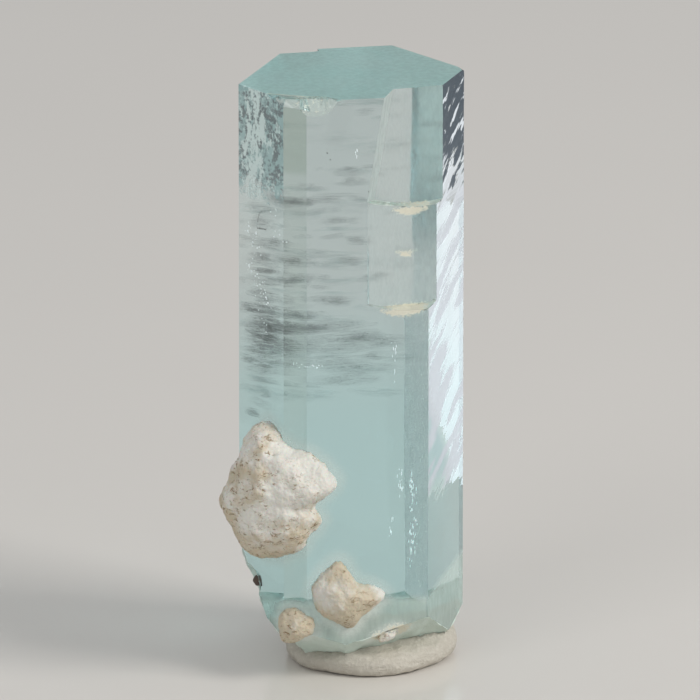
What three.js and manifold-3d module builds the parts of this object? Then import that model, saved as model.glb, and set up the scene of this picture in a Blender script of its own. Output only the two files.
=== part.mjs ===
/*
 * Aquamarine crystal: one natural six-sided prism of pale blue beryl, a little under 60 mm tall,
 * with white feldspar grown on its lower end. Its broken foot is pressed into a round pad of
 * modelling putty, which holds it upright.
 *
 * Frame: millimetres, +Z up. The origin lies on the surface that the pad rests on, under the
 * middle of the whole object. The broadest prism face looks towards -Y.
 *
 * Every piece is first placed about the crystal's own long axis, with z = 0 under the pad. The
 * whole group is then moved so that its box is centred on the origin.
 */
import * as THREE from "three";
import { ImprovedNoise } from "three/addons/math/ImprovedNoise.js";
import { mergeVertices } from "three/addons/utils/BufferGeometryUtils.js";
import Module from "manifold-3d";

const wasm = await Module();
wasm.setup();

// ---- Driving dimensions --------------------------------------------------------------------

const topZ = 60.5; // the flat top face
const footZ = 1.2; // the crystal's lowest point, inside the pad
const clearance = 0.3; // between pieces that touch
const crystalTurn = 10; // how far the prism is turned about +Z, in degrees

// Prism faces, anticlockwise seen from above. `facing` is the way a face looks, in degrees from
// +X before the turn, and `out` its distance from the axis. Beryl's faces stand 60 degrees apart;
// a narrow second-order face cuts off the edge between the left and the front face.
const prismFaces = [
  { facing: -90, out: 9.15 }, // front
  { facing: -30, out: 9.95 }, // right
  { facing: 30, out: 9.75 }, // back right
  { facing: 90, out: 9.4 }, // back
  { facing: 150, out: 9.15 }, // back left
  { facing: 210, out: 11.07 }, // left
  { facing: 240, out: 10.97 }, // narrow face
];

// Flat cuts. `rise` tips the cut's outward normal above the horizon, in degrees, and `out` is how
// far from the axis the cut passes at height `at`.
const topFacets = [
  { facing: 244, rise: 64, out: 9.12, at: topZ }, // sloping facet over the narrow face
  { facing: 8, rise: 62, out: 10.9, at: topZ }, // small facet at the right-hand corner
];
const footBreaks = [
  { facing: -69, rise: -50, out: 6.0, at: 2.3 }, // front right
  { facing: -116, rise: -52, out: 7.6, at: 2.6 }, // front left
  { facing: 174, rise: -19, out: 10.9, at: 11.8 }, // left, the long one
  { facing: 176, rise: -44, out: 8.0, at: 4.8 }, // left, under it
  { facing: -4, rise: -48, out: 10.9, at: 4.2 }, // right
  { facing: 85, rise: -75, out: 0, at: 2.6 }, // the underside, which climbs towards the back
];

// Steps in the growth of the front and back faces. Each takes off what stands beyond its flat
// floor and beyond its wall, from a curved ledge up to `height` above it. `across` is how far the
// ledge reaches either side of its middle, and `sag` how far its middle hangs below its ends.
const growthSteps = [
  {
    floor: { facing: -82.3, out: 8.04, at: 38.4 },
    wall: { facing: -64, out: 8.25, at: 0 },
    ledge: { middle: 3.6, across: 6.4, sag: 1.4, height: 11.6 },
  },
  {
    floor: { facing: -82.3, out: 6.64, at: 48.6 },
    wall: { facing: -26, rise: -8.2, out: 5.57, at: topZ },
    ledge: { middle: 5.0, across: 6.4, sag: 1.2, height: topZ },
  },
  {
    floor: { facing: 92, rise: 4, out: 8.75, at: 57.6 },
    wall: { facing: 132, out: 7.7, at: 0 },
    ledge: { middle: 6.4, across: 5.0, sag: 0.4, height: topZ },
  },
];

// Shell-shaped bites out of the top's front edge and the broken left edge, each part of a ball.
const edgeBites = [
  { centre: [-3.4, -10.4, 61.2], radius: 2.4 },
  { centre: [-10.7, -4.8, 8.9], radius: 2.2 },
];

// Feldspar lumps. `outline` is the lump as seen from the front, as [across, up] from `centre`;
// `thick` is half its depth, `turn` swings it about +Z, `tip` rolls it in its own plane and
// `rough` is the height of its bumps.
const feldsparLumps = [
  {
    name: "feldspar_large",
    centre: [-7.4, -8.7, 19.9],
    outline: [
      [-1.3, 6.8], [0.9, 5.3], [4.2, 3.8], [6.4, 1.1], [4.2, -1.4], [4.7, -2.7],
      [2.6, -6.0], [-1.3, -7.5], [-3.6, -6.4], [-5.1, -3.6], [-5.8, -1.0], [-4.1, 2.9],
      [-2.8, 5.6],
    ],
    thick: 3.9,
    turn: -22,
    tip: 0,
    rough: 0.42,
    detail: 9,
  },
  {
    name: "feldspar_small",
    centre: [-0.5, -9.5, 9.0],
    outline: [
      [-1.7, 3.3], [-0.3, 3.7], [1.1, 1.5], [2.6, 1.0], [4.0, -0.1], [2.3, -1.6],
      [0.5, -3.3], [-1.3, -2.7], [-3.3, -1.2], [-3.4, 1.2],
    ],
    thick: 1.9,
    turn: 6,
    tip: 0,
    rough: 0.28,
    detail: 7,
  },
  {
    name: "feldspar_foot",
    centre: [-5.2, -9.4, 6.0],
    outline: [
      [-1.6, 1.7], [0.2, 1.9], [1.7, 0.8], [1.8, -0.8], [0.5, -1.6], [-1.4, -1.8], [-2.2, 0.0],
    ],
    thick: 2.0,
    turn: -24,
    tip: 0,
    rough: 0.22,
    detail: 6,
  },
  {
    name: "feldspar_sliver",
    centre: [4.1, -7.5, 5.0],
    outline: [[2.0, 0.9], [0.6, 1.1], [-1.5, 0.5], [-2.1, -0.4], [-0.8, -1.0], [1.4, -0.5]],
    thick: 1.0,
    turn: 26,
    tip: 26,
    rough: 0.1,
    detail: 4,
  },
];

// A grain of dark mica caught in the broken left side.
const darkGrain = {
  name: "mica_grain",
  centre: [-9.25, -5.3, 9.2],
  outline: [[0.55, 0.1], [0.2, 0.5], [-0.5, 0.35], [-0.6, -0.15], [0.1, -0.45]],
  thick: 0.5,
  turn: -40,
  tip: -25,
  rough: 0.06,
  detail: 3,
};

// The pad: half its width and depth, where its middle is, and its side profile as
// [share of the half width, share of the height]. It is squeezed thinner towards the front.
const pad = {
  halfWidth: 8.5,
  halfDepth: 8.9,
  height: 3.0,
  squeeze: 0.035,
  middle: [1.95, 0.1],
  profile: [
    [0, 0], [0.89, 0], [0.97, 0.14], [1.0, 0.4], [0.985, 0.68], [0.93, 0.9], [0.84, 1.0],
    [0.72, 1.02], [0, 0.96],
  ],
  segments: 48,
  waver: 0.2,
};

// ---- Materials -----------------------------------------------------------------------------

const beryl = new THREE.MeshStandardMaterial({
  name: "beryl", color: 0x9fc4c4, roughness: 0.08, metalness: 0, transparent: true, opacity: 0.6,
});
const feldspar = new THREE.MeshStandardMaterial({
  name: "feldspar", color: 0xd8d3c5, roughness: 0.8, metalness: 0,
});
const mica = new THREE.MeshStandardMaterial({
  name: "mica", color: 0x3a2c28, roughness: 0.5, metalness: 0,
});
const putty = new THREE.MeshStandardMaterial({
  name: "putty", color: 0xcbc4b5, roughness: 0.85, metalness: 0,
});

// ---- Solids --------------------------------------------------------------------------------

/** A closed three.js geometry as a manifold solid. */
function toSolid(geometry) {
  const bare = geometry.clone();
  bare.deleteAttribute("normal");
  bare.deleteAttribute("uv");
  const merged = mergeVertices(bare, 1e-4);
  return new wasm.Manifold(
    new wasm.Mesh({
      numProp: 3,
      vertProperties: merged.attributes.position.array,
      triVerts: new Uint32Array(merged.index.array),
    }),
  );
}

/** A manifold solid as a flat-shaded three.js geometry. */
function toGeometry(solid) {
  const mesh = solid.getMesh();
  const geometry = new THREE.BufferGeometry();
  geometry.setAttribute("position", new THREE.BufferAttribute(mesh.vertProperties, mesh.numProp));
  geometry.setIndex(new THREE.BufferAttribute(mesh.triVerts, 1));
  const flat = geometry.toNonIndexed();
  flat.computeVertexNormals();
  return flat;
}

/** The way a face looks, from its facing and rise in degrees. */
function normalOf({ facing, rise = 0 }) {
  const level = THREE.MathUtils.degToRad(facing);
  const up = THREE.MathUtils.degToRad(rise);
  return new THREE.Vector3(
    Math.cos(level) * Math.cos(up),
    Math.sin(level) * Math.cos(up),
    Math.sin(up),
  );
}

/** Moves a cutter from its own frame, where +Z points out of the stone, to where its cut lies. */
function placeOnCut(geometry, cut, grow) {
  const normal = normalOf(cut);
  const level = normalOf({ facing: cut.facing });
  const side = new THREE.Vector3(0, 0, 1).cross(level);
  const up = normal.clone().cross(side);
  const point = level.multiplyScalar(cut.out).setZ(cut.at).addScaledVector(normal, grow);
  const frame = new THREE.Matrix4().makeBasis(side, up, normal).setPosition(point);
  return geometry.applyMatrix4(frame);
}

/** All that lies beyond a flat cut. */
function beyondCut(cut, grow) {
  const size = 4 * topZ;
  const block = new THREE.BoxGeometry(size, size, size).translate(0, 0, size / 2);
  return toSolid(placeOnCut(block, cut, grow));
}

/** What a growth step takes off: beyond its floor and its wall, above its ledge. */
function stepCutter({ floor, wall, ledge }, grow) {
  const { middle, across, sag, height } = ledge;
  const above = new THREE.Shape();
  above.moveTo(middle - across, height);
  above.lineTo(middle - across, sag + grow);
  above.quadraticCurveTo(middle, grow - sag, middle + across, sag + grow);
  above.lineTo(middle + across, height);
  const cutter = new THREE.ExtrudeGeometry(above, {
    depth: topZ, bevelEnabled: false, curveSegments: 12,
  });
  return toSolid(placeOnCut(cutter, floor, grow)).intersect(beyondCut(wall, grow));
}

/** Where two neighbouring prism faces meet, seen from above. */
function prismCorner(a, b, grow) {
  const p = normalOf(a);
  const q = normalOf(b);
  const cross = p.x * q.y - p.y * q.x;
  return new THREE.Vector2(
    ((a.out + grow) * q.y - (b.out + grow) * p.y) / cross,
    ((b.out + grow) * p.x - (a.out + grow) * q.x) / cross,
  );
}

/** The crystal, with every face moved out by `grow`. */
function crystalSolid(grow = 0) {
  const corners = prismFaces.map((face, i) => {
    return prismCorner(face, prismFaces[(i + 1) % prismFaces.length], grow);
  });
  const height = topZ - footZ + 2 * grow;
  const prism = new THREE.ExtrudeGeometry(new THREE.Shape(corners), {
    depth: height, bevelEnabled: false,
  });
  let solid = toSolid(prism.translate(0, 0, footZ - grow));
  for (const cut of [...topFacets, ...footBreaks]) solid = solid.subtract(beyondCut(cut, grow));
  for (const step of growthSteps) solid = solid.subtract(stepCutter(step, grow));
  solid = solid.rotate([0, 0, crystalTurn]);
  for (const { centre, radius } of edgeBites) {
    const ball = new THREE.IcosahedronGeometry(radius - grow, 4).translate(...centre);
    solid = solid.subtract(toSolid(ball));
  }
  return solid;
}

/** How far a lump's outline reaches from its centre, at each angle seen from the front. */
function outlineReach(outline) {
  const spline = new THREE.CatmullRomCurve3(
    outline.map(([across, up]) => new THREE.Vector3(across, up, 0)),
    true,
    "catmullrom",
    0.35,
  );
  const points = spline
    .getPoints(180)
    .map((p) => ({ angle: Math.atan2(p.y, p.x), reach: Math.hypot(p.x, p.y) }));
  return (angle) => {
    const apart = (p) => Math.abs(Math.atan2(Math.sin(p.angle - angle), Math.cos(p.angle - angle)));
    return points.reduce((best, p) => (apart(p) < apart(best) ? p : best)).reach;
  };
}

/** A rough lump of stone: a ball stretched to its outline, with bumps. */
function lumpSolid(lump) {
  const ball = mergeVertices(bareBall(lump.detail), 1e-4);
  const reach = outlineReach(lump.outline);
  const noise = new ImprovedNoise();
  const grain = 0.55; // bumps per millimetre
  const at = ball.attributes.position;
  const point = new THREE.Vector3();
  for (let i = 0; i < at.count; i++) {
    point.fromBufferAttribute(at, i);
    const direction = point.clone();
    const wide = reach(Math.atan2(point.z, point.x));
    point.set(point.x * wide, point.y * lump.thick, point.z * wide);
    const [u, v, w] = point.toArray().map((x) => x * grain);
    const bump = noise.noise(u, v, w + lump.thick) + 0.5 * noise.noise(2 * u, 2 * v, 2 * w);
    point.addScaledVector(direction, lump.rough * bump);
    at.setXYZ(i, point.x, point.y, point.z);
  }
  ball.rotateY(THREE.MathUtils.degToRad(-lump.tip));
  ball.rotateZ(THREE.MathUtils.degToRad(lump.turn));
  ball.translate(...lump.centre);
  return toSolid(ball);
}

/** A unit ball of even triangles, with positions only. */
function bareBall(detail) {
  const ball = new THREE.IcosahedronGeometry(1, detail);
  ball.deleteAttribute("normal");
  ball.deleteAttribute("uv");
  return ball;
}

/** The pad before anything is pressed into it: a squashed ball of putty with a flat underside. */
function padSolid() {
  const profile = pad.profile.map(([share, height]) => new THREE.Vector2(share, height));
  const disc = new THREE.LatheGeometry(profile, pad.segments).rotateX(Math.PI / 2);
  const at = disc.attributes.position;
  for (let i = 0; i < at.count; i++) {
    const x = at.getX(i);
    const y = at.getY(i);
    const around = Math.atan2(y, x);
    const waver = pad.waver * (Math.sin(2 * around + 0.6) + 0.6 * Math.sin(5 * around + 2));
    at.setX(i, x * (pad.halfWidth + waver));
    at.setY(i, y * (pad.halfDepth + waver));
    at.setZ(i, at.getZ(i) * pad.height * (1 + pad.squeeze * at.getY(i)));
  }
  return toSolid(disc.translate(...pad.middle, 0));
}

// ---- Pieces --------------------------------------------------------------------------------

const group = new THREE.Group();

function addPiece(name, solid, material) {
  const mesh = new THREE.Mesh(toGeometry(solid), material);
  mesh.name = name;
  group.add(mesh);
}

const crystalRoom = crystalSolid(clearance);
addPiece("crystal", crystalSolid(), beryl);
for (const lump of feldsparLumps) {
  addPiece(lump.name, lumpSolid(lump).subtract(crystalRoom), feldspar);
}
addPiece(darkGrain.name, lumpSolid(darkGrain).subtract(crystalRoom), mica);
addPiece("putty_pad", padSolid().subtract(crystalRoom), putty);

const box = new THREE.Box3().setFromObject(group);
const middle = box.getCenter(new THREE.Vector3());
group.position.set(-middle.x, -middle.y, -box.min.z);

export default group;
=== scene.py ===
import math
import random
from types import SimpleNamespace

import bmesh
import bpy
from mathutils import Matrix, Vector, noise
from mathutils.bvhtree import BVHTree


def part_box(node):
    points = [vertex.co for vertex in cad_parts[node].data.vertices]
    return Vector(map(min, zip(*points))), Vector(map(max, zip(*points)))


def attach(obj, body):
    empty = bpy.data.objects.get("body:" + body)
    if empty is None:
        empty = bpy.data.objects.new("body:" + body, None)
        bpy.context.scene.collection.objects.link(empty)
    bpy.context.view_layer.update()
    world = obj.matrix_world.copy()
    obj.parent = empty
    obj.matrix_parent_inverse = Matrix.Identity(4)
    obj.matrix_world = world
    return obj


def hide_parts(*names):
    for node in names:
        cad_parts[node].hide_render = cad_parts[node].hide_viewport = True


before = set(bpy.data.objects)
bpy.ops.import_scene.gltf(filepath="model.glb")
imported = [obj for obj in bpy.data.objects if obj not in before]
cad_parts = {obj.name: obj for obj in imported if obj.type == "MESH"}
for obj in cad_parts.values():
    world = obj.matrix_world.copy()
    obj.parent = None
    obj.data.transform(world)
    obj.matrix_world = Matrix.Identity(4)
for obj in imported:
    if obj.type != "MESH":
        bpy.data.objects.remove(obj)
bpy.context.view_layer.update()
mm = 0.001

crystalLow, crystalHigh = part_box("crystal")
axis = (crystalLow + crystalHigh) / 2  # the crystal's long axis runs through here
topZ = crystalHigh.z / mm


def at(across, deep, up):
    # a point from millimetres right of the crystal's axis, behind it and above the floor
    return Vector((axis.x + across * mm, axis.y + deep * mm, up * mm))


def facing(degrees):
    # a level unit vector; 0 looks right, -90 to the front
    return Vector((math.cos(math.radians(degrees)), math.sin(math.radians(degrees)), 0))


def ramp(value, low, high):
    # 0 at low, 1 at high and straight in between; low may be the greater
    return min(1.0, max(0.0, (value - low) / (high - low)))


# the way the crystal's upright faces look, in degrees
frontFacing, leftFacing, narrowFacing, rightFacing, rearFacing = -80, -140, -110, -20, 40
upwards = Vector((0, 0, 1))


class Value:
    # an output socket that plain maths can be done with
    def __init__(self, shader, socket):
        self.shader = shader
        self.socket = socket

    def maths(self, operation, left, right):
        return self.shader.node("ShaderNodeMath", {"operation": operation}, {0: left, 1: right})

    def __add__(self, other):
        return self.maths("ADD", self, other)

    __radd__ = __add__

    def __sub__(self, other):
        return self.maths("SUBTRACT", self, other)

    def __rsub__(self, other):
        return self.maths("SUBTRACT", other, self)

    def __mul__(self, other):
        return self.maths("MULTIPLY", self, other)

    __rmul__ = __mul__

    def least(self, other):
        return self.maths("MINIMUM", self, other)

    def most(self, other):
        return self.maths("MAXIMUM", self, other)


class Shader:
    def __init__(self, name):
        self.material = bpy.data.materials.new(name)
        self.material.use_nodes = True
        self.tree = self.material.node_tree
        self.tree.nodes.clear()
        self.place = self.node("ShaderNodeTexCoord", output="Object")

    def node(self, kind, settings=None, sockets=None, output=0):
        made = self.tree.nodes.new(kind)
        for name, setting in (settings or {}).items():
            setattr(made, name, setting)
        for name, value in (sockets or {}).items():
            if isinstance(value, Value):
                self.tree.links.new(value.socket, made.inputs[name])
            else:
                made.inputs[name].default_value = value
        return Value(self, made.outputs[output])

    def scaled(self, factors, vector=None):
        # the object's own coordinates, stretched; factors are per millimetre
        spread = tuple(factor / mm for factor in factors)
        settings = {"operation": "MULTIPLY"}
        return self.node("ShaderNodeVectorMath", settings, {0: vector or self.place, 1: spread})

    def noise(self, factors, detail=3.0, roughness=0.55, distortion=0.0, vector=None):
        sockets = {
            "Vector": self.scaled(factors, vector),
            "Scale": 1.0,
            "Detail": detail,
            "Roughness": roughness,
            "Distortion": distortion,
        }
        return self.node("ShaderNodeTexNoise", None, sockets)

    def cells(self, factors):
        sockets = {"Vector": self.scaled(factors), "Scale": 1.0}
        return self.node("ShaderNodeTexVoronoi", None, sockets)

    def along(self, direction):
        # how far a point lies along a direction
        sockets = {0: self.place, 1: tuple(direction)}
        return self.node("ShaderNodeVectorMath", {"operation": "DOT_PRODUCT"}, sockets, "Value")

    def combined(self, *parts):
        return self.node("ShaderNodeCombineXYZ", None, dict(enumerate(parts)))

    def between(self, value, low, high):
        # 0 below low, 1 above high and smooth in between
        sockets = {"Value": value, "From Min": low, "From Max": high}
        settings = {"interpolation_type": "SMOOTHSTEP"}
        return self.node("ShaderNodeMapRange", settings, sockets)

    def split(self, part):
        return self.node("ShaderNodeSeparateXYZ", None, {0: self.place}, "XYZ".index(part))

    def attribute(self, name):
        return self.node("ShaderNodeAttribute", {"attribute_name": name}, output="Fac")

    def blend(self, factor, first, second):
        sockets = {0: factor, 6: rgba(first), 7: rgba(second)}
        return self.node("ShaderNodeMix", {"data_type": "RGBA"}, sockets, 2)

    def bump(self, height, strength, distance):
        sockets = {"Height": height, "Strength": strength, "Distance": distance * mm}
        return self.node("ShaderNodeBump", None, sockets)

    def principled(self, sockets):
        given = {name: rgba(value) for name, value in sockets.items()}
        return self.node("ShaderNodeBsdfPrincipled", None, given)

    def mixed(self, factor, first, second):
        return self.node("ShaderNodeMixShader", None, {0: factor, 1: first, 2: second})

    def finish(self, surface, volume=None):
        output = self.tree.nodes.new("ShaderNodeOutputMaterial")
        self.tree.links.new(surface.socket, output.inputs["Surface"])
        if volume is not None:
            self.tree.links.new(volume.socket, output.inputs["Volume"])
        return self.material


def rgba(value):
    # a colour given as three numbers gets its alpha; anything else stays as it is
    return (*value, 1) if isinstance(value, tuple) and len(value) == 3 else value


def nodeMesh(node):
    # a merged copy of a CAD node's mesh, to work on
    shape = bmesh.new()
    shape.from_mesh(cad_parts[node].data)
    bmesh.ops.remove_doubles(shape, verts=shape.verts, dist=0.001 * mm)
    return shape


def nodeTree(node):
    # a CAD node's surface, to look up its nearest points in
    shape = nodeMesh(node)
    tree = BVHTree.FromBMesh(shape)
    shape.free()
    return tree


def addPiece(name, shape, material, replaced=()):
    mesh = bpy.data.meshes.new(name)
    shape.to_mesh(mesh)
    shape.free()
    mesh.materials.append(material)
    piece = bpy.data.objects.new(name, mesh)
    bpy.context.scene.collection.objects.link(piece)
    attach(piece, "root")
    if replaced:
        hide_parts(*replaced)
    print(f"{name}: {len(mesh.polygons)} faces")
    return piece


cameraSetup = {
    "elevation": 17.0,  # degrees above the horizon
    "lens": 800.0,  # a long lens, so that upright edges stay parallel
    "sensor": 36.0,
    "width": 70.0,  # millimetres of the picture's width at the crystal
    "aimAcross": -0.14,
    "aimHeight": 31.72,
    "farthest": 100.0,  # metres
}


def sightLine():
    # the way the camera looks
    elevation = math.radians(cameraSetup["elevation"])
    return Vector((0, math.cos(elevation), -math.sin(elevation)))


def makeCamera():
    setup = cameraSetup
    data = bpy.data.cameras.new("camera")
    data.lens = setup["lens"]
    data.sensor_width = setup["sensor"]
    camera = bpy.data.objects.new("camera", data)
    bpy.context.scene.collection.objects.link(camera)
    distance = setup["width"] * mm * setup["lens"] / setup["sensor"]
    camera.location = at(setup["aimAcross"], 0, setup["aimHeight"]) - distance * sightLine()
    camera.rotation_euler = (math.radians(90 - setup["elevation"]), 0, 0)
    data.clip_end = setup["farthest"]
    bpy.context.scene.camera = camera
    print("camera ready")


floorSetup = {
    "colour": (0.74, 0.712, 0.673),
    "reach": 3.0,  # metres
    "roughness": 0.16,
    "mottle": 0.97,  # how dark its darker parts are, against the rest
}
worldSetup = {
    "colour": (0.97, 0.985, 1.0),
    "strength": 0.47,
}

lamps = {
    # name: where it stands, what it aims at, width and height, all in metres; power; colour
    "softboxRight": ((0.66, -0.28, 0.52), (0, 0, 0.02), (0.34, 0.34), 4.6, (1.0, 0.975, 0.94)),
    "fillLeft": ((-0.46, -0.62, 0.62), (0, 0, 0.02), (0.42, 0.42), 1.3, (1.0, 0.98, 0.96)),
    "cardRight": (
        (0.052, 0.044, 0.0147), (0.011, -0.004, 0.032), (0.034, 0.029), 0.0067, (0.80, 0.90, 1.0),
    ),
}
crystalOnly = ["cardRight"]  # this small reflector only shines on the crystal
pathLimits = {  # light is turned back many times inside the stone
    "max_bounces": 32, "glossy_bounces": 24, "transmission_bounces": 24,
    "transparent_max_bounces": 64,
}


def floorSatin():
    setup = floorSetup
    shader = Shader("floorSatin")
    mottle = shader.noise((0.02, 0.02, 0.02), 2)
    darker = tuple(part * setup["mottle"] for part in setup["colour"])
    return shader.finish(shader.principled({
        "Base Color": shader.blend(mottle, setup["colour"], darker),
        "Roughness": setup["roughness"],
    }))


def makeFloor():
    shape = bmesh.new()
    bmesh.ops.create_circle(shape, cap_ends=True, segments=64, radius=floorSetup["reach"])
    mesh = bpy.data.meshes.new("floor")
    shape.to_mesh(mesh)
    shape.free()
    mesh.materials.append(floorSatin())
    floor = bpy.data.objects.new("floor", mesh)
    bpy.context.scene.collection.objects.link(floor)
    print("floor ready")


def makeWorld():
    world = bpy.data.worlds.new("studio")
    world.use_nodes = True
    background = world.node_tree.nodes["Background"]
    background.inputs["Color"].default_value = rgba(worldSetup["colour"])
    background.inputs["Strength"].default_value = worldSetup["strength"]
    bpy.context.scene.world = world
    bpy.context.scene.view_settings.view_transform = "Standard"
    for name, bounces in pathLimits.items():
        setattr(bpy.context.scene.cycles, name, bounces)
    print("world ready")


def makeLamps():
    for name, (place, target, size, power, colour) in lamps.items():
        data = bpy.data.lights.new(name, "AREA")
        data.shape = "RECTANGLE"
        data.size, data.size_y = size
        data.energy = power
        data.color = colour
        lamp = bpy.data.objects.new(name, data)
        lamp.location = Vector(place)
        lamp.rotation_mode = "QUATERNION"
        lamp.rotation_quaternion = (Vector(target) - Vector(place)).to_track_quat("-Z", "Y")
        lamp.visible_camera = False
        bpy.context.scene.collection.objects.link(lamp)
    print(f"{len(lamps)} lamps ready")


def keepCardToCrystal(crystal):
    lit = bpy.data.collections.new("litByCard")
    lit.objects.link(crystal)
    for name in crystalOnly:
        lamp = bpy.data.objects[name]
        lamp.light_linking.receiver_collection = lit
        lamp.visible_transmission = False


crystalSetup = {
    "ior": 1.577,
    "tint": (0.0, 0.88, 0.93),  # what the stone lets through, against its density
    "density": 11.0,  # per metre
    "roughness": 0.01,
    "upperTint": (0.925, 0.902, 0.91),
    "lowerTint": (0.80, 0.95, 0.965),
    "tintHeights": (24.0, 42.0),  # in millimetres, as every height here
    "paleTint": (0.985, 0.99, 0.985),  # where etching has left the stone nearly white
    # painted shade: the narrow face, and a little the left face, get this darker tint, strongest
    # above these heights
    "shadeTint": (0.53, 0.57, 0.50),  # the narrow face's, and fainter below these heights
    "shadeHeights": (52.5, 53.4),
    "shadeBelow": 0.45,
    "frostTint": (0.66, 0.82, 0.785),
    "frostRoughness": 0.38,
    "crustRoughness": 0.6,
    "roundedLength": 4.0,  # only longer edges that fold more than this angle are rounded
    "roundedAngle": 20.0,
    "edgeBevel": 0.07,
    "rimBevel": 0.24,
    "gridStep": 0.42,
    "creaseAngle": 7.0,  # degrees; edges sharper than this stay crisp
    "faceRelief": 0.018,  # how far the smooth faces wander, in millimetres
    "etchRelief": 0.024,
    "brokenRelief": 0.34,
    "ridgeRelief": 0.05,  # the slanting ridges high on the right face
    "ridgeSlope": 28.0,  # degrees
    "ridgeHeights": (42.0, 50.0),  # the ridges grow between these
    "frost": {  # how matt each kind of face is
        "foot": 1.0, "chip": 0.22, "top": 0.7, "rim": 0.8, "ledge": 1.0, "etched": 0.30,
        "rear": 0.5, "wall": 0.7,
    },
    "rearDeeper": 0.5,  # how much more the rear face is etched low down, from the first height on
    "rearDeepens": (50.0, 38.0),
    # painted shade: how much of the darker tint each face gets
    "shade": {"narrow": 1.0, "left": 0.28},
    "crust": {  # how much is dull and opaque
        "foot": 0.7, "chip": 0.15, "top": 0.35, "rim": 0.5, "ledge": 0.45, "wall": 0.2,
    },
    "crustTone": {"foot": 0.5, "chip": 0.3, "top": 1.0, "rim": 0.25, "ledge": 0.3},
    "cream": (0.84, 0.81, 0.66),  # the crust's colours, for the tones 0, 0.5 and 1
    "green": (0.62, 0.72, 0.65),
    "teal": (0.40, 0.68, 0.65),
    # pale crusts, partly painted light at the first three, the crescents where the upward growth
    # ledges catch the lamp: middle across, height, half width, half height, strength; in
    # millimetres
    "patches": [
        (6.15, 38.2, 3.7, 0.66, 1.15), (6.85, 48.2, 2.9, 0.72, 1.15), (6.4, 43.8, 1.7, 0.5, 1.1),
        (-3.0, 60.2, 4.6, 2.2, 0.46), (-8.0, 60.6, 3.2, 1.2, 0.46),
        (4.3, 4.1, 2.0, 1.4, 1.1), (5.7, 4.9, 1.8, 1.2, 1.1),
    ],
    "patchLift": 0.75,  # the ends of the lower patches stand higher than their middles
    "chipDepth": 0.08,  # worn chips keep this share of their depth
    "milkTop": 8.8,  # the stone turns milky below this height
    "milk": 0.5,
    "haloReach": 1.7,  # the stone is cloudy this far round the feldspar
    "halo": 0.30,
    "haloColour": (0.80, 0.85, 0.81),
    # the right face's soft film, partly painted shade: a dull dark teal cover left of the card
    # lamp's reflection. How far right it reaches, and how much further low down
    "filmShadeEdge": (8.6, 2.1),
    "filmShadeWidens": (30.0, 22.0),
    "filmShadeStarts": (17.0, 21.0),
    "filmShadeColour": (0.22, 0.36, 0.38),
    "ridgedHeights": (13.0, 19.0),  # the right face's slanting streaks come in
    "brokenHeights": (46.2, 54.2),  # its top is splintered, dark and white
    "splinterTones": ((0.015, 0.024, 0.036), (0.085, 0.12, 0.155)),
    # the greyer tone for the film; the bright bluish white on the splintered top is partly painted
    # reflection
    "chalkAndSheenTones": ((0.50, 0.535, 0.585), (0.86, 0.93, 1.0)),
    "mottleHeights": (48.2, 52.7),  # the splintered top of the left face
    "mottleDark": (0.06, 0.10, 0.12),
    "mottleMiddle": (0.34, 0.55, 0.56),
    "mottleBright": (0.74, 0.92, 0.91),
    # painted light: the bright streaks come more readily in this lit band across
    "mottleLit": (-10.2, -9.0, -8.2, -7.2),  # across: brighter between the middle two
    # patterns: the factors per millimetre, detail, roughness and distortion of a noise
    "patterns": {
        "lines": ((2.2, 2.2, 0.05), 3),
        "ripple": ((0.5, 0.5, 0.16), 3),
        "etching": ((2.0, 2.0, 0.7), 4, 0.6),
        "pits": ((3.0, 3.0, 3.0), 4, 0.65),
        "striae": ((0.35, 2.6, 1.0), 3),
        "specks": ((3.4, 3.4, 4.6), 5, 0.7),
        "mottle": ((0.5, 0.5, 0.5), 5, 0.62, 0.9),
        "fine": ((2.2, 2.2, 2.4), 4, 0.7, 0.2),
        "uprights": ((1.2, 1.2, 0.42), 4, 0.6, 0.6),
    },
    # patterns drawn out along the ridges: factors along and across them, and a third coordinate
    "slanting": {
        "slants": (0.28, 1.3, 0.0, 4, 0.6, 0.5),
        "swell": (0.12, 0.55, 5.0, 1, 0.4, 0.3),
        # painted highlights on the splintered top
        "flashes": (0.3, 1.1, 9.0, 3, 0.55, 0.4),
    },
}


# the masks that the stone's faces and points carry for its material
faceMasks = ("frost", "crust", "tone", "shade", "ridged", "pale", "broken")
pointMasks = ("patch", "milk", "mottled", "haze", "halo")
uprightFaces = {
    "narrow": narrowFacing, "left": leftFacing, "right": rightFacing, "rear": rearFacing,
}
kinds = ["plain", "top", "foot", "ledge", "chip", "etched", *uprightFaces, "wall", "rim"]
stepSetup = {
    # the growth steps' etched faces: how far forward and right they reach, and their lowest point
    "forward": 8.9,
    "rightward": 9.7,
    "lowest": 37.0,
}


def isFootChip(face, middle):
    # the little facets low on the left edge
    return middle.z < 12 and middle.x < axis.x / mm - 7.5 and face.calc_area() < 0.6 * mm * mm


def faceKind(face):
    # which sort of surface a flat part of the crystal is
    normal, middle = face.normal, face.calc_center_median() / mm
    if normal.z > 0.985 and middle.z > topZ - 0.5:
        return "top"
    if normal.z < -0.15 or isFootChip(face, middle):
        return "foot"
    if normal.z > 0.55 and middle.z < topZ - 2.0:
        return "ledge"
    if middle.z > topZ - 3.5 and normal.z > 0.12:
        return "chip"
    outward = middle * mm - axis
    toFront = normal.dot(facing(frontFacing))
    onStep = middle.x > axis.x / mm and middle.z > stepSetup["lowest"]
    onStep = onStep and outward.dot(facing(frontFacing)) / mm < stepSetup["forward"]
    if toFront > 0.4 and onStep and outward.dot(facing(rightFacing)) / mm < stepSetup["rightward"]:
        return "etched" if toFront > 0.85 else "wall"
    for kind, degrees in uprightFaces.items():
        if normal.dot(facing(degrees)) > 0.995:
            return kind
    return "plain"


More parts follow.
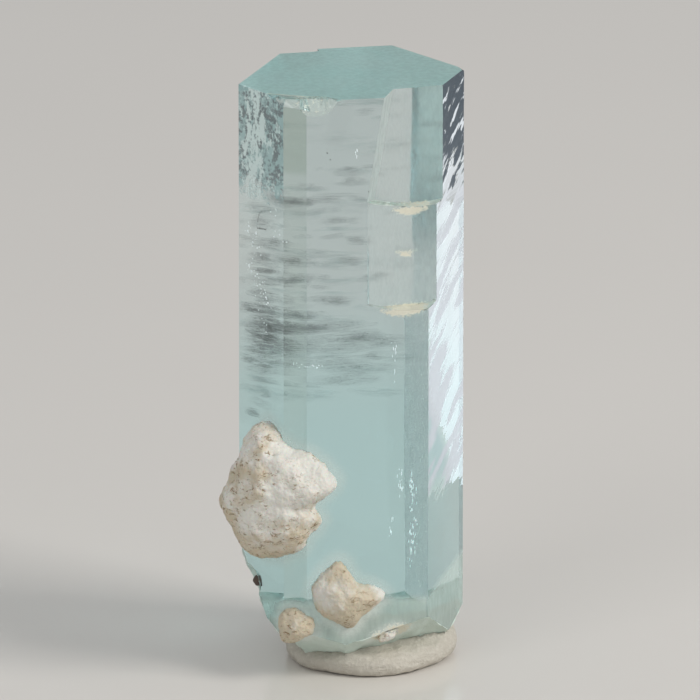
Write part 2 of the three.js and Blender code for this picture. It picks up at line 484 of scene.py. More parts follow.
def ridgeAxes():
    # along the right face's slanting ridges, and across them
    level = upwards.cross(facing(rightFacing))
    slope = math.radians(crystalSetup["ridgeSlope"])
    ridge = level * math.cos(slope) + upwards * math.sin(slope)
    return ridge, upwards * math.cos(slope) - level * math.sin(slope)


def stonePatterns(shader):
    # every mask and pattern that the stone's surface is mixed from, by name
    found = {name: shader.attribute(name) for name in (*faceMasks, *pointMasks)}
    for name, given in crystalSetup["patterns"].items():
        found[name] = shader.noise(*given)
    ridge, across = ridgeAxes()
    for name, (lengthwise, crosswise, third, *given) in crystalSetup["slanting"].items():
        place = shader.combined(
            lengthwise * shader.along(ridge), crosswise * shader.along(across), third,
        )
        found[name] = shader.noise((1, 1, 1), *given, vector=place)
    return SimpleNamespace(**found)


def stoneRelief(shader, look):
    # the waves of the smooth faces, and the pits of the frosted ones
    waves = look.ripple + 0.3 * look.lines * (1 - 0.9 * look.ridged)
    waves = waves + 4.0 * look.ridged * look.swell
    pits = look.pits * shader.between(look.frost, 0.75, 0.95) + 0.04 * look.striae
    return shader.bump(waves, 0.20, 0.06), shader.bump(pits, 0.6, 0.16)


def clearStone(shader, look, waves):
    setup = crystalSetup
    height = shader.split("Z") * (1 / mm)
    tint = shader.blend(
        shader.between(height, *setup["tintHeights"]), setup["lowerTint"], setup["upperTint"],
    )
    # painted shade: the narrow and left faces are darkened
    shaded = setup["shadeBelow"]
    shaded = shaded + (1 - shaded) * shader.between(height, *setup["shadeHeights"])
    tint = shader.blend(look.shade * shaded, tint, setup["shadeTint"])
    return shader.principled({
        "Base Color": shader.blend(look.pale, tint, setup["paleTint"]),
        "Roughness": setup["roughness"],
        "IOR": setup["ior"],
        "Transmission Weight": 1.0,
        "Normal": waves,
    })


def frostedStone(shader, look, pits):
    setup = crystalSetup
    deep = 0.6 * look.pale * shader.between(look.frost, 0.6, 0.95)
    return shader.principled({
        "Base Color": shader.blend(look.pale, setup["frostTint"], (1.0, 1.0, 1.0)),
        "Roughness": setup["frostRoughness"] + deep,
        "IOR": setup["ior"],
        "Transmission Weight": 0.8,
        "Normal": pits,
    })


def dullStone(shader, look, pits, spread):
    # the crusts, partly painted light at the crescents, and the cloud round the feldspar
    setup = crystalSetup
    warm = shader.blend(look.pits, tuple(0.8 * part for part in setup["cream"]), setup["cream"])
    colour = shader.blend(shader.between(look.tone, 0.0, 0.5), warm, setup["green"])
    colour = shader.blend(shader.between(look.tone, 0.5, 1.0), colour, setup["teal"])
    # painted shade: the dark teal of the right face's film
    colour = shader.blend(look.haze, colour, setup["filmShadeColour"])
    colour = shader.blend(look.halo, colour, setup["haloColour"])
    return shader.principled({
        "Base Color": shader.blend(spread, colour, warm),
        "Roughness": setup["crustRoughness"],
        "Normal": pits,
    })


def bareSurface(shader, look, waves, pits):
    # clear stone under its frost, and both under the crusts
    # the right face's film, partly painted shade: matt and dull dark teal, with a ragged slanting
    # edge
    filmShaded = 0.95 * shader.between(look.haze + 1.6 * (look.slants - 0.5), 0.30, 0.50)
    filmShaded = filmShaded * shader.between(look.haze, 0, 0.1)
    frosting = look.frost * (0.88 + 0.24 * shader.between(look.etching, 0.35, 0.65))
    # pale crust patches; the crescents among them are partly painted light
    spread = shader.between(look.patch + 1.7 * (look.specks - 0.5), 0.38, 0.82)
    spread = spread * shader.between(look.tone, 1.0, 0.6)
    cloudy = shader.between(look.halo + 1.2 * look.halo * (look.specks - 0.5), 0.10, 0.85)
    cloudy = crystalSetup["halo"] * cloudy + look.milk * (0.7 + 0.6 * look.etching)
    cover = (look.crust + 0.85 * spread + cloudy + 0.5 * filmShaded).least(0.95)
    stone = shader.mixed(
        (frosting + filmShaded).least(1.0), clearStone(shader, look, waves),
        frostedStone(shader, look, pits),
    )
    return shader.mixed(cover, stone, dullStone(shader, look, pits, spread))


def mottledTop(shader, look, surface):
    # the splintered top of the left face: mottled, with bright upright streaks, more of them in a
    # painted lit band
    setup = crystalSetup
    across = shader.split("X") * (1 / mm)
    # painted light: a lit band across, where the bright streaks are more
    start, full, ebb, end = setup["mottleLit"]
    lit = shader.between(across, start, full) * shader.between(across, end, ebb)
    blotches = shader.between(0.6 * look.mottle + 0.4 * look.fine, 0.43, 0.54)
    colour = shader.blend(blotches, setup["mottleDark"], setup["mottleMiddle"])
    bright = shader.between(0.6 * look.uprights + 0.4 * look.fine + 0.10 * lit, 0.53, 0.63)
    splintered = shader.principled({
        "Base Color": shader.blend(bright, colour, setup["mottleBright"]),
        "Roughness": 0.4,
        "Normal": shader.bump(look.fine, 0.5, 0.12),
    })
    ragged = look.mottled + 1.6 * (look.mottle - 0.5) + 0.8 * (look.fine - 0.5)
    share = 0.74 * shader.between(ragged, 0.20, 0.75) * shader.between(look.mottled, 0.0, 0.1)
    return shader.mixed(share, surface, splintered)


def splinteredTop(shader, look, surface, waves, pits):
    # the splintered top of the right face: dark, with white slanting streaks and a film below; the
    # bright streaks and flashes are partly white stone and partly painted reflection
    level = look.slants - 0.40 * look.broken
    splinters = shader.between(level, 0.27, 0.23) * shader.between(look.broken, 0.02, 0.1)
    whites = shader.between(level, 0.25, 0.30) * shader.between(look.broken, 0.10, 0.35)
    film = 0.85 * shader.between(look.swell + 0.4 * (look.slants - 0.5), 0.45, 0.58)
    film = film * shader.between(look.ridged, 0.8, 1.0) * shader.between(look.broken, 0.45, 0.15)
    # painted highlights: bright flashes on the splintered top
    flashes = 0.8 * shader.between(look.flashes, 0.575, 0.63) * look.broken
    dark = shader.principled({
        "Base Color": shader.blend(look.pits, *crystalSetup["splinterTones"]),
        "Roughness": 0.45,
        "Specular IOR Level": 0.25,
        "Normal": pits,
    })
    chalkAndSheen = shader.principled({
        "Base Color": shader.blend(look.broken, *crystalSetup["chalkAndSheenTones"]),
        "Roughness": 0.5,
        "Normal": waves,
    })
    surface = shader.mixed(splinters, surface, dark)
    return shader.mixed((0.75 * whites + film + flashes).least(1.0), surface, chalkAndSheen)


def aquamarine():
    shader = Shader("beryl")
    look = stonePatterns(shader)
    waves, pits = stoneRelief(shader, look)
    surface = bareSurface(shader, look, waves, pits)
    surface = mottledTop(shader, look, surface)
    surface = splinteredTop(shader, look, surface, waves, pits)
    sockets = {"Color": rgba(crystalSetup["tint"]), "Density": crystalSetup["density"]}
    volume = shader.node("ShaderNodeVolumeAbsorption", None, sockets)
    return shader.finish(surface, volume)


def sliceGrid(shape, step):
    # cuts the whole shape into cells of about one step, without moving its surface
    low, high = crystalLow / mm, crystalHigh / mm
    for way in range(3):
        count = round((high[way] - low[way]) / step)
        normal = Vector([1.0 if part == way else 0.0 for part in range(3)])
        for cut in range(1, count):
            place = normal * (low[way] + (high[way] - low[way]) * cut / count) * mm
            geometry = [*shape.verts, *shape.edges, *shape.faces]
            bmesh.ops.bisect_plane(
                shape, geom=geometry, dist=1e-8, plane_co=place, plane_no=normal,
            )


def relief(place, kind):
    # how far a point of the crystal's surface stands off its flat face, in millimetres
    setup = crystalSetup
    spot = place / mm
    if kind in ("foot", "ledge"):
        return noise.fractal(spot * 0.5, 0.9, 2.0, 4) * setup["brokenRelief"]
    if kind in ("chip", "rim"):
        return noise.fractal(spot * 0.9, 0.9, 2.0, 3) * setup["etchRelief"]
    if kind == "top":
        return noise.noise(Vector((spot.x * 0.35, spot.y * 1.1, 0))) * setup["faceRelief"]
    upright = Vector((spot.x * 0.5, spot.y * 0.5, spot.z * 0.09))
    waves = noise.noise(upright) * setup["faceRelief"]
    if kind == "etched":
        waves += noise.noise(Vector((spot.x * 0.9, spot.y, spot.z * 0.35))) * setup["etchRelief"]
    if kind == "right":
        ridge, across = ridgeAxes()
        streaks = noise.noise(Vector((spot.dot(ridge) * 0.22, spot.dot(across) * 0.75, 3.0)))
        high = max(0.15, ramp(spot.z, *setup["ridgeHeights"]))
        waves += streaks * high * setup["ridgeRelief"]
    return waves


def wornChips(shape, chipNumber):
    # raises the bites along the top's edge back towards the flat faces round them
    reach = max((vert.co - axis).dot(facing(frontFacing)) for vert in shape.verts)
    for vert in shape.verts:
        if all(face.material_index == chipNumber for face in vert.link_faces):
            fromTop = topZ * mm - vert.co.z
            fromFront = reach - (vert.co - axis).dot(facing(frontFacing))
            lift = (1 - crystalSetup["chipDepth"]) * min(fromTop, fromFront)
            vert.co += lift * (upwards if fromTop < fromFront else facing(frontFacing))


def softenEdges(shape):
    # rounds the long edges; the rim round the top gets more, and is a kind of its own
    setup = crystalSetup
    shortest, flattest = setup["roundedLength"] * mm, math.radians(setup["roundedAngle"])
    longEdges = [
        edge for edge in shape.edges
        if edge.calc_length() > shortest and edge.calc_face_angle(0) > flattest
    ]
    rimEdges = [edge for edge in longEdges if all(v.co.z > (topZ - 0.02) * mm for v in edge.verts)]
    sideEdges = [edge for edge in longEdges if edge not in rimEdges]
    for edges, offset in ((sideEdges, setup["edgeBevel"]), (rimEdges, setup["rimBevel"])):
        made = bmesh.ops.bevel(
            shape, geom=[edge for edge in edges if edge.is_valid], offset=offset * mm,
            offset_type="OFFSET", segments=2, profile=0.5, affect="EDGES", material=-1,
            clamp_overlap=True,
        )
        if edges is rimEdges:
            for face in made["faces"]:
                face.material_index = kinds.index("rim")
    for edge in shape.edges:
        edge.smooth = edge.calc_face_angle(0) < math.radians(setup["creaseAngle"])


def maskFaces(shape):
    setup = crystalSetup
    layers = SimpleNamespace(**{name: shape.faces.layers.float.new(name) for name in faceMasks})
    for face in shape.faces:
        kind, up = kinds[face.material_index], face.calc_center_median().z / mm
        face[layers.frost] = setup["frost"].get(kind, 0.0)
        if kind == "rear":
            face[layers.frost] += setup["rearDeeper"] * ramp(up, *setup["rearDeepens"])
        face[layers.crust] = setup["crust"].get(kind, 0.0)
        face[layers.tone] = setup["crustTone"].get(kind, 0.5)
        # painted shade, for the clear stone's tint
        face[layers.shade] = setup["shade"].get(kind, 0.0)
        face[layers.pale] = 1.0 if kind in ("etched", "rear", "wall") else 0.0
        face[layers.ridged] = ramp(up, *setup["ridgedHeights"]) * (kind == "right")
        face[layers.broken] = ramp(up, *setup["brokenHeights"]) * (kind == "right")


def patchiness(spot):
    # how much pale crust there is at a point in front, from the nearest patch; at the crescents it
    # is partly painted light
    setup, most = crystalSetup, 0.0
    for across, up, halfWide, halfTall, strength in setup["patches"]:
        sideways = (spot.x - across) / halfWide
        lift = setup["patchLift"] * sideways**2 * (up < 50)
        apart = math.hypot(sideways, (spot.z - up - lift) / halfTall)
        most = max(most, strength * min(1.0, 1.3 * (1 - apart)))
    return most if spot.y < axis.y / mm - 3 else 0.0


def milkiness(spot):
    # the milky zone over the foot: in front and on the right, fainter to the left
    setup = crystalSetup
    top = setup["milkTop"] + 0.5 * max(0.0, spot.x - 8.5)
    front = 1.0 if spot.y < axis.y / mm - 4 or spot.x > 8.5 else 0.0
    front *= max(0.6, ramp(spot.x, -5.5, -0.5)) * (0.7 if spot.x > 8.5 else 1.0)
    return front * setup["milk"] * ramp(spot.z, top, top - 0.7)


def maskPoints(shape):
    setup = crystalSetup
    layers = SimpleNamespace(**{name: shape.verts.layers.float.new(name) for name in pointMasks})
    feldspar = [nodeTree(node) for node, _, _ in lumps.values()]
    edge, growth = setup["filmShadeEdge"]
    for vert in shape.verts:
        spot = vert.co / mm
        touching = {kinds[face.material_index] for face in vert.link_faces}
        apart = min(tree.find_nearest(vert.co)[3] for tree in feldspar) / mm
        vert[layers.halo] = max(0.0, 1 - apart / setup["haloReach"])
        vert[layers.patch] = patchiness(spot)
        vert[layers.milk] = milkiness(spot)
        # the right face's film, partly painted shade, where the card lamp's reflection does not
        # show
        reach = edge + growth * ramp(spot.z, *setup["filmShadeWidens"])
        haze = ramp(spot.z, *setup["filmShadeStarts"]) * ramp(spot.x, reach + 0.5, reach - 0.5)
        vert[layers.haze] = haze * ("right" in touching)
        vert[layers.mottled] = ramp(spot.z, *setup["mottleHeights"]) * ("left" in touching)


def makeCrystal():
    shape = nodeMesh("crystal")
    bmesh.ops.dissolve_limit(
        shape, angle_limit=math.radians(1.0), verts=shape.verts, edges=shape.edges,
        use_dissolve_boundaries=False, delimit=set(),
    )
    for face in shape.faces:
        face.material_index = kinds.index(faceKind(face))
    softenEdges(shape)
    sliceGrid(shape, crystalSetup["gridStep"])
    maskFaces(shape)
    maskPoints(shape)
    shape.normal_update()
    wornChips(shape, kinds.index("chip"))
    shifts = []
    for vert in shape.verts:
        touching = {face.material_index for face in vert.link_faces}
        share = 1.0 if len(touching) == 1 else 0.4  # less relief where two kinds meet
        shifts.append(vert.normal * relief(vert.co, kinds[max(touching)]) * share * mm)
    for vert, shift in zip(shape.verts, shifts):
        vert.co += shift
    for face in shape.faces:
        face.material_index = 0
        face.smooth = True
    return addPiece("aquamarine", shape, aquamarine(), ("crystal",))


def sealed(across, up, depth):
    # a point in the stone, behind the spot of its front at this height, along the bent sight line
    start = at(across, -30, up)  # well in front of the crystal
    place, normal, _, _ = stoneTree.ray_cast(start, Vector((0, 1, 0)))
    sight = sightLine()
    ratio = 1 / crystalSetup["ior"]
    into = -sight.dot(normal)
    bent = ratio * sight + (ratio * into - math.sqrt(1 - ratio**2 * (1 - into**2))) * normal
    return place + bent * depth * mm


def keepInside(verts, margin):
    # draws in whatever would reach within a margin of the stone's surface
    for vert in verts:
        place, normal, _, _ = stoneTree.find_nearest(vert.co)
        if (vert.co - place).dot(normal) > -margin * mm:
            vert.co = place - normal * margin * mm


flakeSetup = {
    "wobble": 0.45,  # how irregular its outline is
    "bend": 0.12,  # how far its middle plane wanders
    "fade": 1.4,  # the higher, the sooner it thins out from its middle
    "margin": 0.12,  # millimetres it stays under the stone's surface
}


def addFlake(shape, layer, centre, halves, strength, seed, tilt=0.0, thick=0.02):
    # an irregular lens; the layer holds how dense it is, from its middle to its rim
    setup = flakeSetup
    flake = bmesh.ops.create_icosphere(shape, subdivisions=3, radius=1.0)["verts"]
    turn = Matrix.Rotation(math.radians(tilt), 3, facing(37 * seed))
    for vert in flake:
        x, y, z = vert.co
        vert[layer] = strength * max(0.0, 1 - math.hypot(x, y) ** 2) ** setup["fade"]
        wobble = 1 + setup["wobble"] * noise.noise(Vector((1.4 * x + seed, 1.4 * y, seed)))
        bend = setup["bend"] * noise.noise(Vector((0.8 * x, 0.8 * y - seed, seed)))
        spread = Vector((x * halves[0] * wobble, y * halves[1] * wobble, z * thick + bend))
        vert.co = centre + turn @ spread * mm
    keepInside(flake, setup["margin"])


wispSetup = {
    # millimetres: across, height where it shows in front, half its width; then how dark it is
    "places": [
        (-6.4, 50.0, 2.2, 0.75), (-2.0, 50.5, 1.9, 0.5), (-2.1, 48.1, 1.1, 0.35),
        (-7.6, 45.5, 1.0, 0.6), (0.3, 45.9, 1.2, 0.6), (-8.6, 43.6, 1.3, 0.8),
        (-5.7, 43.9, 1.6, 0.75), (-0.1, 43.9, 1.4, 0.5), (-8.4, 42.2, 1.7, 0.7),
        (-5.7, 42.1, 1.4, 0.6), (-3.0, 42.3, 0.8, 0.45), (-8.1, 38.7, 1.6, 0.85),
        (-5.1, 38.3, 1.1, 0.65), (-1.4, 39.8, 1.7, 0.5), (-10.3, 37.8, 1.0, 0.85),
        (-7.7, 36.6, 3.6, 0.6), (-10.4, 32.4, 0.9, 0.9), (-8.9, 32.0, 0.9, 0.6),
        (1.9, 33.9, 1.1, 0.6), (-8.5, 29.3, 0.5, 0.8), (-10.1, 27.0, 0.9, 0.8),
        (1.6, 35.7, 1.9, 0.35), (-0.1, 53.1, 1.5, 0.4), (0.2, 52.1, 1.3, 0.45),
        (1.4, 59.2, 0.8, 0.45), (-10.2, 51.8, 0.9, 0.5),
    ],
    "smoke": [  # broad smoky sheets, low in the misty zone
        (-9.0, 29.6, 2.2, 0.35), (-8.8, 30.8, 2.6, 0.45), (-8.6, 31.8, 3.0, 0.6),
        (-8.3, 32.8, 3.4, 0.75), (-8.6, 33.8, 3.6, 0.85), (-8.2, 34.8, 3.8, 0.9),
        (-8.4, 35.8, 3.6, 0.9), (-8.0, 36.8, 3.6, 0.95), (-8.6, 38.0, 3.4, 0.95),
        (-8.6, 39.6, 3.2, 0.8), (-8.4, 41.2, 3.2, 0.75), (-8.8, 43.0, 2.8, 0.65),
        (-8.6, 45.0, 2.6, 0.5), (-8.8, 47.0, 2.4, 0.45), (-8.8, 48.6, 2.4, 0.35),
        (-0.5, 31.6, 4.5, 0.35), (0.5, 32.7, 4.5, 0.4), (-9.0, 28.2, 1.8, 0.3),
        (-8.8, 35.2, 3.0, 0.6), (-8.8, 37.4, 2.8, 0.5), (-8.6, 40.4, 2.8, 0.4),
        (-1.5, 33.6, 4.5, 0.4), (-1.0, 34.8, 5.0, 0.5), (-0.5, 36.0, 5.0, 0.5),
        (-2.0, 37.2, 4.5, 0.4), (3.0, 35.4, 3.5, 0.4),
    ],
    "smokeDepth": 3.2,
    "smokeDeep": 2.8,  # half of how far a sheet reaches in
    "strayCount": 70,
    "strayHeights": (34.0, 54.0),
    "strayDepths": (1.5, 6.0),
    "strayStrengths": (0.12, 0.4),
    "colour": (0.05, 0.085, 0.095),
}


def smokyGrey():
    shader = Shader("wispGrey")
    core = shader.attribute("core")
    streaks = shader.noise((0.6, 1.4, 1.7), 5, 0.64, 0.9)
    grains = shader.noise((5.0, 5.0, 9.0), 3, 0.75)
    mask = shader.between(streaks, 0.30, 0.70) * (0.15 + 1.3 * shader.between(grains, 0.38, 0.64))
    return shader.finish(shader.principled({
        "Base Color": wispSetup["colour"], "Roughness": 0.9, "Specular IOR Level": 0.0,
        "Alpha": (core * mask).least(0.9),
    }))


def makeWisps():
    setup = wispSetup
    chance = random.Random(4)
    shape = bmesh.new()
    core = shape.verts.layers.float.new("core")
    for seed, (across, up, half, strength) in enumerate(setup["places"]):
        deep = 0.7 * half + 0.5
        for part in range(3):  # a few lie close over each other
            shifted = across + 0.4 * half * chance.uniform(-1, 1)
            centre = sealed(shifted, up + 0.22 * (part - 1), deep + chance.uniform(0.6, 1.2))
            size = (half * chance.uniform(1.0, 1.5), deep)
            addFlake(shape, core, centre, size, 0.62 * strength, 3 * seed + part, 4, 0.14)
    for seed, (across, up, half, strength) in enumerate(setup["smoke"]):
        centre = sealed(across, up, setup["smokeDepth"])
        addFlake(shape, core, centre, (half, setup["smokeDeep"]), strength, seed + 140, 3, 0.3)
    for seed in range(setup["strayCount"]):
        across = -11 + 14 * chance.random() ** 1.6
        half = chance.uniform(0.5, 1.8)
        up, depth = chance.uniform(*setup["strayHeights"]), chance.uniform(*setup["strayDepths"])
        strength = chance.uniform(*setup["strayStrengths"])
        size = (half, half * 0.7)
        addFlake(shape, core, sealed(across, up, depth), size, strength, seed + 160, 5, 0.12)
    return addPiece("wisps", shape, smokyGrey())


veilSetup = {
    # faint milky sheets right through the stone; millimetres
    "count": 44,
    "heights": (27.0, 59.0),
    "across": (-7, 6),
    "deep": (-6, 6),
    "halves": (2.2, 5.5),
    "strength": (0.10, 0.26),
    "colour": (0.80, 0.86, 0.84),
}


def milky():
    shader = Shader("veilWhite")
    core = shader.attribute("core")
    clouds = shader.noise((0.5, 0.9, 1.0), 5, 0.6, 0.3)
    return shader.finish(shader.principled({
        "Base Color": veilSetup["colour"], "Roughness": 0.9, "Specular IOR Level": 0.0,
        "Alpha": core * shader.between(clouds, 0.32, 0.66),
    }))


def makeVeils():
    setup = veilSetup
    chance = random.Random(9)
    shape = bmesh.new()
    core = shape.verts.layers.float.new("core")
    low, high = setup["heights"]
    for seed in range(setup["count"]):
        up = low + (high - low) * (seed + chance.random()) / setup["count"]
        half = chance.uniform(*setup["halves"])
        centre = at(chance.uniform(*setup["across"]), chance.uniform(*setup["deep"]), up)
        strength = chance.uniform(*setup["strength"])
        addFlake(shape, core, centre, (half, half * 0.75), strength, seed, 3)
    return addPiece("veils", shape, milky())


speckMargin = 0.05  # millimetres that a speck stays under the stone's surface


def addSpeck(shape, centre, halves, chance):
    speck = bmesh.ops.create_icosphere(shape, subdivisions=1, radius=1.0)["verts"]
    turn = Matrix.Rotation(chance.uniform(0, 3), 3, "Z")
    for vert in speck:
        spread = Vector([part * half for part, half in zip(vert.co, halves)])
        vert.co = centre + turn @ spread * chance.uniform(0.8, 1.2) * mm
    keepInside(speck, speckMargin)


glintSetup = {
    # where a drift of glints starts and ends, as across and height, its spread and count
    "drifts": [
        ((-10.2, 46.0), (-9.0, 43.6), 0.7, 26),
        ((-10.2, 42.6), (-8.2, 38.6), 0.55, 44),
        ((-9.4, 38.8), (-8.4, 36.0), 0.5, 12),
        ((-10.6, 53.5), (-9.6, 50.5), 0.5, 12),
        ((-8.2, 49.2), (-7.0, 46.5), 0.9, 12),
        ((-6.0, 33.2), (-2.8, 33.1), 0.15, 14),
    ],
    "depths": (0.3, 1.6),
    "leftmost": -10.9,
    "rightmost": 7.5,
    "colours": ((0.80, 0.90, 0.90), (0.96, 0.98, 0.97)),
    # painted light: the glints and tubes glow, though they are no lamp
    "shine": (0.93, 0.98, 1.0),
    "emission": 0.6,
}
tubeSetup = {
    # the tubes share the glints' glowing material: painted light
    # upright strings of white tubes: across, lowest and highest point in front, count
    "strings": [
        (4.9, 19.0, 22.0, 16), (6.0, 11.6, 21.5, 44), (6.3, 13.0, 20.0, 18), (4.0, 14.5, 17.0, 8),
        (4.3, 31.0, 36.0, 12), (0.5, 54.1, 55.3, 5),
    ],
    "depths": (1.5, 2.5),
    "halves": (0.025, 0.05),
    "stretch": (2, 6),  # how much taller than wide a tube is
}


def sparkle():
    # the specks glow, though they are no lamp: painted light
    setup = glintSetup
    shader = Shader("glintWhite")
    tone = shader.noise((2.0, 2.0, 2.0), 2)
    return shader.finish(shader.principled({
        "Base Color": shader.blend(tone, *setup["colours"]),
        "Roughness": 0.25,
        "Emission Color": setup["shine"],
        "Emission Strength": setup["emission"],
    }))


def makeGlints():
    chance = random.Random(12)
    shape = bmesh.new()
    for start, end, spread, count in glintSetup["drifts"]:
        for _ in range(count):
            share = chance.random()
            across = start[0] + (end[0] - start[0]) * share + chance.gauss(0, spread / 2)
            up = start[1] + (end[1] - start[1]) * share + chance.gauss(0, spread / 2)
            half = 0.025 + 0.07 * chance.random() ** 2
            across = min(glintSetup["rightmost"], max(glintSetup["leftmost"], across))
            centre = sealed(across, up, chance.uniform(*glintSetup["depths"]))
            addSpeck(shape, centre, (half * 1.5, half, half), chance)
    for across, low, high, count in tubeSetup["strings"]:
        for _ in range(count):
            up = chance.uniform(low, high)
            shifted = across + chance.gauss(0, 0.13)
            centre = sealed(shifted, up, chance.uniform(*tubeSetup["depths"]))
            half = chance.uniform(*tubeSetup["halves"])
            tall = half * chance.uniform(*tubeSetup["stretch"])
            addSpeck(shape, centre, (half, half, tall), chance)
    return addPiece("glints", shape, sparkle())


darkSetup = {
    # across and height in front, in millimetres
    "grains": [(-3.0, 59.6), (1.7, 50.9), (3.5, 38.2), (-2.4, 55.1), (-2.1, 54.4), (-8.6, 53.4)],
    "depth": 0.9,
    "colours": ((0.02, 0.018, 0.015), (0.10, 0.06, 0.045)),
}


def darkMineral():
    shader = Shader("inclusionDark")
    tone = shader.noise((3.0, 3.0, 3.0), 3)
    return shader.finish(shader.principled({
        "Base Color": shader.blend(tone, *darkSetup["colours"]),
        "Roughness": 0.5,
    }))


def makeDarkSpecks():
    # a small hooked crystal of dark mineral, and stray grains
    setup = darkSetup
    chance = random.Random(7)
    shape = bmesh.new()
    hook = [(-9.3 + 0.35 * share**2, 47.0 + 1.2 * share) for share in (0, 0.2, 0.4, 0.6, 0.8, 1)]
    dash = [(-9.3 + 0.16 * step, 46.3 + 0.03 * step) for step in range(6)]
    for places, size in ((hook, 0.07), (dash, 0.08), (setup["grains"], 0.06)):
        for across, up in places:
            centre = sealed(across, up, setup["depth"])
            addSpeck(shape, centre, (size * 1.3, size, size * chance.uniform(0.8, 1.5)), chance)
    return addPiece("dark_specks", shape, darkMineral())


def applyModifiers(piece):
    graph = bpy.context.evaluated_depsgraph_get()
    mesh = bpy.data.meshes.new_from_object(piece.evaluated_get(graph))
    old = piece.data
    piece.modifiers.clear()
    piece.data = mesh
    bpy.data.meshes.remove(old)


def seat(mesh, reach, depth):
    # draws what lies within reach of the crystal on to it, and a little way in
    for vert in mesh.vertices:
        place, normal, _, distance = stoneTree.find_nearest(vert.co)
        if distance < reach * mm:
            share = 1 - distance / (reach * mm)
            vert.co -= normal * (depth * mm + distance) * min(1.0, 2 * share)


def roughen(mesh, layers, seed):
    # layers are (bumps per millimetre, height in millimetres)
    normals = [vert.normal.copy() for vert in mesh.vertices]
    shift = Vector((seed * 7.3, seed * 3.1, seed * 5.7))
    for vert, normal in zip(mesh.vertices, normals):
        spot = vert.co / mm
        height = sum(noise.noise(spot * pitch + shift) * tall for pitch, tall in layers)
        vert.co += normal * height * mm


def makeLump(name, node, material, setup):
    # a CAD lump with its surface roughened, drawn on to the stone where it lies close
    piece = addPiece(name, nodeMesh(node), material, (node,))
    remesh = piece.modifiers.new("evenMesh", "REMESH")
    remesh.mode = "VOXEL"
    remesh.voxel_size = setup["voxel"] * mm
    remesh.use_smooth_shade = True
    applyModifiers(piece)
    roughen(piece.data, setup["layers"], setup["seed"])
    seat(piece.data, setup["reach"], setup["depth"])
    print(f"{name}: {len(piece.data.polygons)} faces after its surface is made")
    return piece


lumps = {
    # piece: CAD node, voxel in millimetres, seed
    "lump_large": ("feldspar_large", 0.14, 1),
    "lump_small": ("feldspar_small", 0.12, 2),
    "lump_foot": ("feldspar_foot", 0.11, 3),
    "lump_sliver": ("feldspar_sliver", 0.08, 4),
}
lumpSetup = {
    "layers": [(0.42, 0.20), (1.0, 0.07), (2.4, 0.06), (4.8, 0.05)],
    "reach": 0.55,  # what lies closer to the stone than this is drawn on to it
    "depth": 0.2,
}
albiteSetup = {
    "dull": (0.70, 0.69, 0.63),  # between the grains of sugar
    "white": (0.90, 0.885, 0.825),
    # painted shade: across, the white dims towards the right between the first two, by the third
    "paintedShadeRight": (-7.0, -2.0, 0.6),  # across: the white fades to the right between the first two
    "tan": (0.56, 0.475, 0.325),
    "stain": 0.8,
    "lowHeights": (15.0, 12.0),  # the small lumps are stained more
    "brown": (0.23, 0.145, 0.065),
    "flecks": 0.9,
    "roughness": 0.55,
    "subsurface": 0.12,
    "subsurfaceReach": 0.8,
}


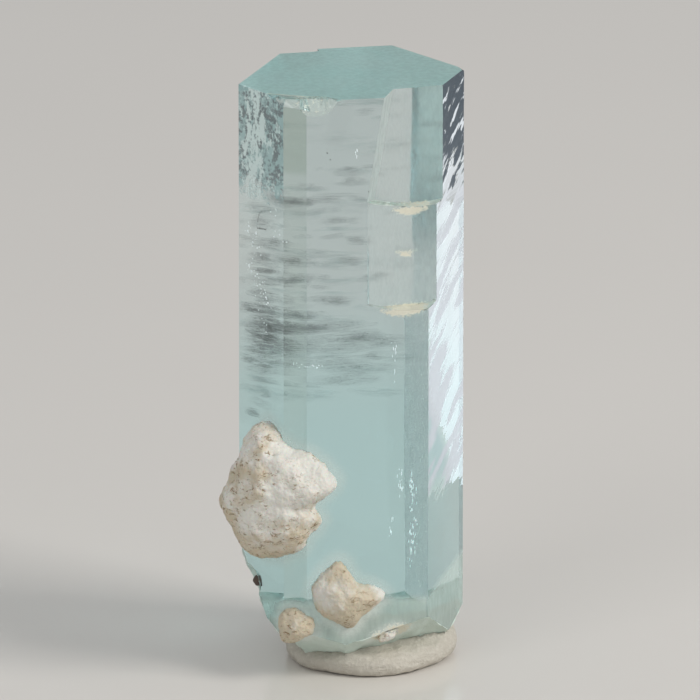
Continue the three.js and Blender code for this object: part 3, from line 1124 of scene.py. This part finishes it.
def albite():
    setup = albiteSetup
    shader = Shader("feldspar")
    grains = shader.cells((3.2, 3.2, 3.2))
    sugar = shader.noise((1.8, 1.8, 1.8), 6, 0.65)
    patches = shader.noise((0.24, 0.24, 0.24), 4, 0.6)
    dashes = shader.noise((1.2, 1.2, 2.2), 6, 0.78, 0.8)
    side = shader.split("X") * (1 / mm)
    low = shader.between(shader.split("Z") * (1 / mm), *setup["lowHeights"])
    # tan stains, most to the left and on the small lumps
    rightward = (side - 2.5).most(0.0)
    stained = patches + low * (0.21 + 0.012 * side - 0.10 * rightward) - 0.014 * side
    stained = setup["stain"] * shader.between(stained, 0.52, 0.72)
    # brown flecks, in loose groups
    sooty = shader.between(patches - 0.014 * side + 0.06 * low, 0.46, 0.62)
    flecks = setup["flecks"] * shader.between(dashes, 0.54, 0.61) * sooty
    # painted shade: the white dims towards the right
    start, end, loss = setup["paintedShadeRight"]
    lit = sugar * (1 - loss * shader.between(side, start, end))
    colour = shader.blend(lit, setup["dull"], setup["white"])
    colour = shader.blend(stained, colour, setup["tan"])
    surface = shader.principled({
        "Base Color": shader.blend(flecks, colour, setup["brown"]),
        "Roughness": setup["roughness"],
        "Normal": shader.bump(grains * 0.4 + sugar, 0.7, 0.16),
        "Subsurface Weight": setup["subsurface"],
        "Subsurface Scale": setup["subsurfaceReach"] * mm,
    })
    return shader.finish(surface)


padSetup = {
    "voxel": 0.22,
    "seed": 6,
    "layers": [(0.22, 0.22), (0.8, 0.14), (2.2, 0.05)],
    "reach": 0.55,
    "depth": 0.3,
    # the darker colour lies in the hollows of the creases: painted shade
    "colours": ((0.47, 0.44, 0.375), (0.62, 0.585, 0.515)),
    "chalky": (0.70, 0.67, 0.60),
}


def puttyClay():
    setup = padSetup
    shader = Shader("putty")
    creasesAndShade = shader.noise((0.5, 0.5, 1.4), 5, 0.6, 0.6)
    fine = shader.noise((2.5, 2.5, 2.5), 4, 0.6)
    # painted shade: darker where the creases sink, as their bump does
    colour = shader.blend(creasesAndShade, *setup["colours"])
    colour = shader.blend(0.35 * shader.between(fine, 0.50, 0.62), colour, setup["chalky"])
    bump = shader.bump(creasesAndShade + 0.5 * fine, 0.7, 0.45)
    surface = shader.principled({"Base Color": colour, "Roughness": 0.7, "Normal": bump})
    return shader.finish(surface)


grainSetup = {
    "voxel": 0.05,
    "seed": 5,
    "layers": [(2.0, 0.12)],
    "reach": 0.55,
    "depth": 0.2,
    "colours": ((0.03, 0.02, 0.018), (0.13, 0.085, 0.06)),
    "roughness": 0.42,
}


def darkMica():
    setup = grainSetup
    shader = Shader("mica")
    flakes = shader.noise((2, 2, 6), 4, 0.6)
    surface = shader.principled({
        "Base Color": shader.blend(flakes, *setup["colours"]),
        "Roughness": setup["roughness"],
        "Normal": shader.bump(flakes, 0.6, 0.1),
    })
    return shader.finish(surface)


makeCamera()
makeFloor()
makeWorld()
makeLamps()
stoneTree = nodeTree("crystal")
crystal = makeCrystal()
keepCardToCrystal(crystal)
makeWisps()
makeVeils()
makeGlints()
makeDarkSpecks()
white = albite()
for name, (node, voxel, seed) in lumps.items():
    makeLump(name, node, white, {**lumpSetup, "voxel": voxel, "seed": seed})
makeLump("dark_grain", "mica_grain", darkMica(), grainSetup)
makeLump("pad", "putty_pad", puttyClay(), padSetup)
